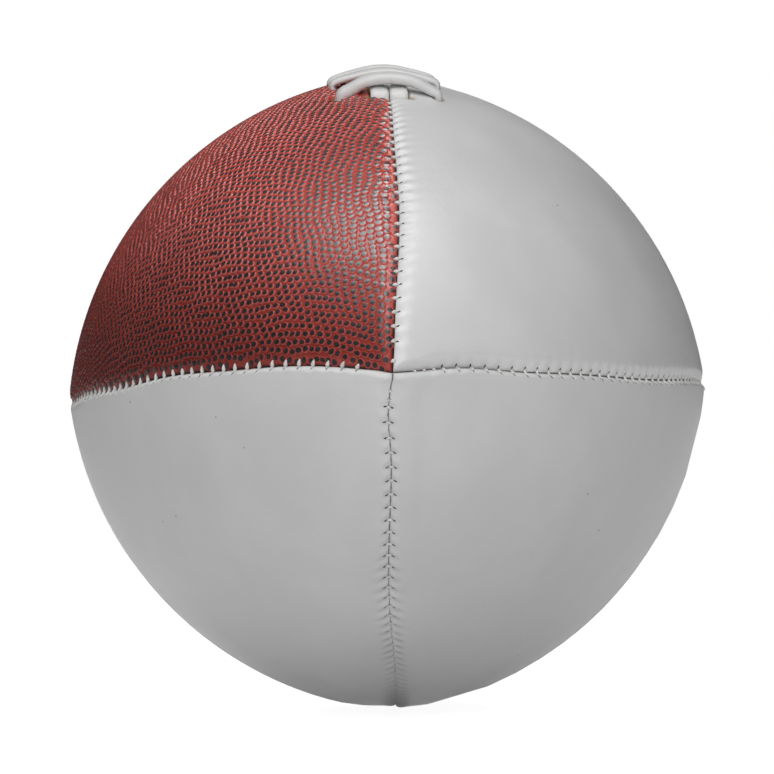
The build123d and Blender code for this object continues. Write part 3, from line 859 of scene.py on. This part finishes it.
ACROSS_BALL = np.array([1.0, 0.0, 0.0])
lace_white = lace_vinyl()
straps = []
for bar in BAR_STATIONS:
    ridge, along_way, out_way = top_frame(bar)
    drop = panel_drop(HOLE_SIDE, bar)
    foremost = bar == BAR_STATIONS[0]
    crown = (FRONT_CROWN if foremost else BAR_CROWN) + random.normal(0, 0.08)
    # Each half runs from inside its hole to the seam: distance from the seam, height over it.
    halves = []
    for tuck in FRONT_TUCK if foremost else (0.0, 0.0):
        halves.append([
            (12.9 - 0.4 * tuck, -drop - 4.5),
            (13.2 - 0.5 * tuck, -drop - 1.5),
            (13.9 - tuck, -drop + 0.2),
            (13.8 - tuck, -drop + 1.2),
            (12.0 - tuck, -drop + 2.1),
            (7.6 - 0.4 * tuck, crown - 1.25),
            (3.6, crown - 0.28),
        ])
    knots = halves[0] + [(0.0, crown)] + [(-x, z) for x, z in halves[1][::-1]]
    line = smooth_path(np.array(knots), BAR_POINTS)
    skew = random.normal(0, 0.025)
    path = ridge + line[:, :1] * (ACROSS_BALL + skew * along_way) + line[:, 1:] * out_way
    thick = np.full(len(path), STRAP_THICK)
    if foremost:
        fuller, leaner = smooth_step(-5, -12, line[:, 0]), smooth_step(6, 12, line[:, 0])
        thick = FRONT_THICK * (1 + 0.22 * fuller - 0.12 * leaner)
    straps.append(strap(path, along_way, BAR_WIDTH, thick, BAR_ROUNDNESS))
points, faces = join_tubes(straps)
cross_bars = new_mesh("cross_bars", hand_sewn(points), faces)
cross_bars.data.materials.append(lace_white)
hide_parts("cross_lace")
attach(cross_bars, "root")

# Half a strand from its end in the slot to the middle: place short of its end, and lift.
strand_line = [(-0.3, -5.0), (-0.4, -1.6), (0.2, STRAND_SINK), (2.5, STRAND_SINK)]
strand_line += [(short, STRAND_SINK) for short in STRAND_END - np.linspace(STRAND_END - 6, 0, 12)]
for name, node_name, side in (
    ("long_strand_left", "long_lace_left", -1),
    ("long_strand_right", "long_lace_right", 1),
):
    knots = []
    for short, lift in strand_line:
        ridge, along_way, out_way = top_frame(STRAND_END - short)
        knots.append(ridge + lift * out_way)
    knots = np.array(knots)
    line = smooth_path(np.concatenate([knots * (1, -1, 1), knots[-2::-1]]), STRAND_POINTS)
    line[:, 0] += side * (STRAND_WIDTH / 2 + 0.08)
    thick = np.full(len(line), STRAP_THICK)
    made = strap(line, ACROSS_BALL, STRAND_WIDTH, thick, STRAND_ROUNDNESS)
    points, faces = join_tubes([made])
    strand = new_mesh(name, hand_sewn(points), faces)
    strand.data.materials.append(lace_white)
    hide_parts(node_name)
    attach(strand, "root")

# Valve. A black rubber boss with a plug for the inflation needle stands in a round hole in the
# lower right panel, whose cut edge is rolled over into a small lip.
RIM_TUBE = 0.35
RIM_STEPS, RIM_SIDES = 72, 10
turn = np.linspace(0, 2 * math.pi, RIM_STEPS, endpoint=False)
spin = np.linspace(0, 2 * math.pi, RIM_SIDES, endpoint=False)
spoke = np.cos(turn)[:, None] * ALONG_BALL
spoke = spoke + np.sin(turn)[:, None] * np.cross(VALVE_OUT, ALONG_BALL)
rim = spoke[:, None] * (VALVE_HOLE + 0.3 + RIM_TUBE * np.cos(spin))[None, :, None]
rim = rim + ((GIRTH_RADIUS - 0.25 + RIM_TUBE * np.sin(spin))[None, :, None] * VALVE_OUT)
sag = (np.sin(turn) ** 2)[:, None, None] * VALVE_OUT * VALVE_HOLE**2 / (2 * round_radius(0.0))
rim = rim - sag
index = np.arange(rim.shape[0] * rim.shape[1]).reshape(rim.shape[:2])
ahead = np.roll(index, -1, axis=0)
quads = np.stack([index, ahead, np.roll(ahead, -1, axis=1), np.roll(index, -1, axis=1)], axis=-1)
quads = quads.reshape(-1, 4)
valve_lip = new_mesh("valve_lip", rim.reshape(-1, 3), [quads])
add_values(valve_lip, "seam_shade", np.zeros(index.size))
add_values(valve_lip, "raw", np.zeros(index.size))
valve_lip.data.materials.append(leather_white)
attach(valve_lip, "root")


def plain_rubber(name, colour, worn, roughness):
    """Moulded rubber with a dusty bloom."""
    material, tree, out = new_material(name)
    crease_shade_strength = mottled(tree, noise(tree, 300.0, 3.0), colour, worn)
    grain = uneven_face(tree, noise(tree, 1800.0, 2.0), 0.2, 0.0001)
    return surface(material, tree, out, crease_shade_strength, roughness, Normal=grain)


def dress(material, *names):
    """Gives CAD nodes that show as they are their material."""
    for name in names:
        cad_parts[name].data.materials.clear()
        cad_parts[name].data.materials.append(material)


black = plain_rubber("valve_rubber", (0.02, 0.02, 0.02, 1), (0.045, 0.044, 0.042, 1), 0.5)
grey = plain_rubber("valve_plug", (0.10, 0.10, 0.10, 1), (0.15, 0.148, 0.145, 1), 0.45)
dress(black, "valve_boss")
dress(grey, "valve_core")

# Inside. A butyl bladder holds the air, woven cloth linings stop the panels from stretching,
# and two raw leather facings carry the lace holes. All of it is shut in by the cover.
butyl = plain_rubber("bladder_rubber", (0.025, 0.024, 0.024, 1), (0.05, 0.048, 0.046, 1), 0.6)
dress(butyl, "bladder")


def woven_cloth():
    """Canvas of crossed yarns."""
    material, tree, out = new_material("lining_cloth")
    place = node(tree, "ShaderNodeTexCoord").outputs["Object"]
    bands = {"Vector": place, "Scale": 260.0, "Distortion": 0.6}
    yarn, cross = (
        node(tree, "ShaderNodeTexWave", bands, bands_direction=way).outputs["Fac"]
        for way in ("Y", "DIAGONAL")
    )
    weave = maths(tree, "MAXIMUM", yarn, cross)
    colour = mixed(tree, weave, (0.30, 0.26, 0.19, 1), (0.52, 0.47, 0.37, 1))
    threads = uneven_face(tree, weave, 0.6, 0.0003)
    return surface(material, tree, out, colour, 0.9, Normal=threads, Specular_IOR_Level=0.2)


def raw_leather():
    """Undyed flesh side of leather."""
    material, tree, out = new_material("facing_leather")
    nap = noise(tree, 900.0, 4.0)
    colour = mottled(tree, nap, (0.26, 0.16, 0.08, 1), (0.40, 0.27, 0.15, 1))
    fuzz = uneven_face(tree, nap, 0.6, 0.0003)
    return surface(material, tree, out, colour, 0.85, Normal=fuzz, Specular_IOR_Level=0.2)


dress(
    woven_cloth(),
    "lining_upper_left", "lining_upper_right", "lining_lower_left", "lining_lower_right",
)
dress(raw_leather(), "lace_facing_left", "lace_facing_right")

# Stage. A pale floor and a sheet of white paper hung behind the ball, both plain white to the eye.
# The floor is a little dimmer near the ball, where its soft shadow shows.
FLOOR_HALF = 12000.0
FLOOR_HEIGHT = -87.8
PAPER_HALF, PAPER_BEHIND, PAPER_HIGH = 600.0, 2600.0, 700.0
WHITE = (1, 1, 1, 1)


def white_to_eye(tree, plain, bright):
    """Bright to the camera, in reflections and through glass, and plain to all other light."""
    rays = node(tree, "ShaderNodeLightPath").outputs
    bent = maths(tree, "MAXIMUM", rays["Is Glossy Ray"], rays["Is Transmission Ray"])
    seen = maths(tree, "MAXIMUM", rays["Is Camera Ray"], bent)
    return node(tree, "ShaderNodeMixShader", {0: seen, 1: plain, 2: bright}).outputs[0]


def flat_sheet(name, corners, material):
    """Flat four-cornered piece of the stage."""
    sheet = new_mesh(name, np.array(corners, float), [np.array([[0, 1, 2, 3]])], smooth=False)
    sheet.data.materials.append(material)
    return sheet


material, tree, out = new_material("pale_floor")
paper = node(tree, "ShaderNodeBsdfDiffuse", {"Color": (0.77, 0.77, 0.77, 1)}).outputs[0]
place = node(tree, "ShaderNodeTexCoord").outputs["Object"]
far = node(tree, "ShaderNodeVectorMath", {0: place}, operation="LENGTH").outputs["Value"]
glow = node(tree, "ShaderNodeEmission", {
    "Color": WHITE, "Strength": eased(tree, far, 0.25, 1.0, 0.92, 1.0)}).outputs[0]
both = node(tree, "ShaderNodeAddShader", {0: paper, 1: glow}).outputs[0]
tree.links.new(white_to_eye(tree, paper, both), out.inputs[0])
corners = [(-1, -1), (1, -1), (1, 1), (-1, 1)]
corners = [(FLOOR_HALF * x, FLOOR_HALF * y, FLOOR_HEIGHT) for x, y in corners]
floor = flat_sheet("floor", corners, material)

material, tree, out = new_material("white_paper")
paper = node(tree, "ShaderNodeBsdfDiffuse", {"Color": (0.85, 0.85, 0.85, 1)}).outputs[0]
glow = node(tree, "ShaderNodeEmission", {"Color": WHITE, "Strength": 1.0}).outputs[0]
tree.links.new(white_to_eye(tree, paper, glow), out.inputs[0])
corners = [(-1, FLOOR_HEIGHT), (1, FLOOR_HEIGHT), (1, PAPER_HIGH), (-1, PAPER_HIGH)]
corners = [(PAPER_HALF * x, PAPER_BEHIND, z) for x, z in corners]
backdrop = flat_sheet("backdrop", corners, material)

# Light. A dim plain room, and soft lamps over the ball, over and beside the camera, and behind
# the ball. One over the ball shows only as a sheen on the leather, and the one behind it doesn't.
ROOM = 0.03
world = bpy.data.worlds.new("studio")
bpy.context.scene.world = world
world.use_nodes = True
tree = world.node_tree
tree.nodes.clear()
out = tree.nodes.new("ShaderNodeOutputWorld")
room = node(tree, "ShaderNodeBackground", {"Color": WHITE, "Strength": ROOM}).outputs[0]
tree.links.new(room, out.inputs[0])


def placed(side, over, back, place):
    """Matrix that turns a thing's own axes to three ways and moves it to a place in metres."""
    return Matrix([*zip(side, over, back, place), (0, 0, 0, 1)])


def lamp(name, place, size, watts):
    """Oblong soft lamp at a place in metres, turned to the ball."""
    light = bpy.data.lights.new(name, "AREA")
    light.shape = "RECTANGLE"
    light.size, light.size_y = size
    light.energy = watts
    thing = bpy.data.objects.new(name, light)
    place = np.array(place)
    back = place / np.linalg.norm(place)
    side = np.cross((0.0, 1.0, 0.001), back)
    side /= np.linalg.norm(side)
    over = np.cross(back, side)
    thing.matrix_world = placed(side, over, back, place)
    bpy.context.scene.collection.objects.link(thing)
    return thing


# Place and size in metres, and watts.
LAMPS = {
    "top": ((-0.38, -0.2, 1.6), (1.0, 0.5), 7.5),
    "sheen": ((0.30, -0.2, 1.6), (0.8, 0.5), 7.5),
    "top_front": ((0.1, -1.1, 1.2), (0.9, 1.4), 11.8),
    "front": ((-0.15, -1.6, 0.3), (0.7, 0.7), 5.7),
    "behind": ((0.0, 2.0, 0.85), (1.2, 0.8), 10.0),
}
lamps = {name: lamp(name, *settings) for name, settings in LAMPS.items()}
lamps["behind"].visible_glossy = False
lamps["sheen"].visible_diffuse = False

# Camera: close to end-on, a little below the ball's long axis and turned slightly.
AWAY = 800.0
SWING, LIFT, ROLL = (math.radians(value) for value in (-0.61, -2.04, -1.56))
LENS_PIXELS = 2864.0
SHIFT_PIXELS = 7.9
PICTURE_PIXELS = 774.0
SENSOR = 36.0
level_away = math.cos(LIFT)
spot = [math.sin(SWING) * level_away, -math.cos(SWING) * level_away, math.sin(LIFT)]
spot = AWAY * np.array(spot)
ahead = -spot / AWAY
level = np.cross(ahead, (0.0, 0.0, 1.0))
level /= np.linalg.norm(level)
upright = np.cross(level, ahead)
right = math.cos(ROLL) * level + math.sin(ROLL) * upright
over = math.cos(ROLL) * upright - math.sin(ROLL) * level
camera = bpy.data.objects.new("camera", bpy.data.cameras.new("camera"))
camera.matrix_world = placed(right, over, -ahead, spot * MM)
camera.data.sensor_width = SENSOR
camera.data.lens = LENS_PIXELS * SENSOR / PICTURE_PIXELS
camera.data.shift_y = SHIFT_PIXELS / PICTURE_PIXELS
camera.data.clip_start = 0.01
bpy.context.scene.collection.objects.link(camera)
bpy.context.scene.camera = camera
bpy.context.scene.view_settings.view_transform = "Standard"
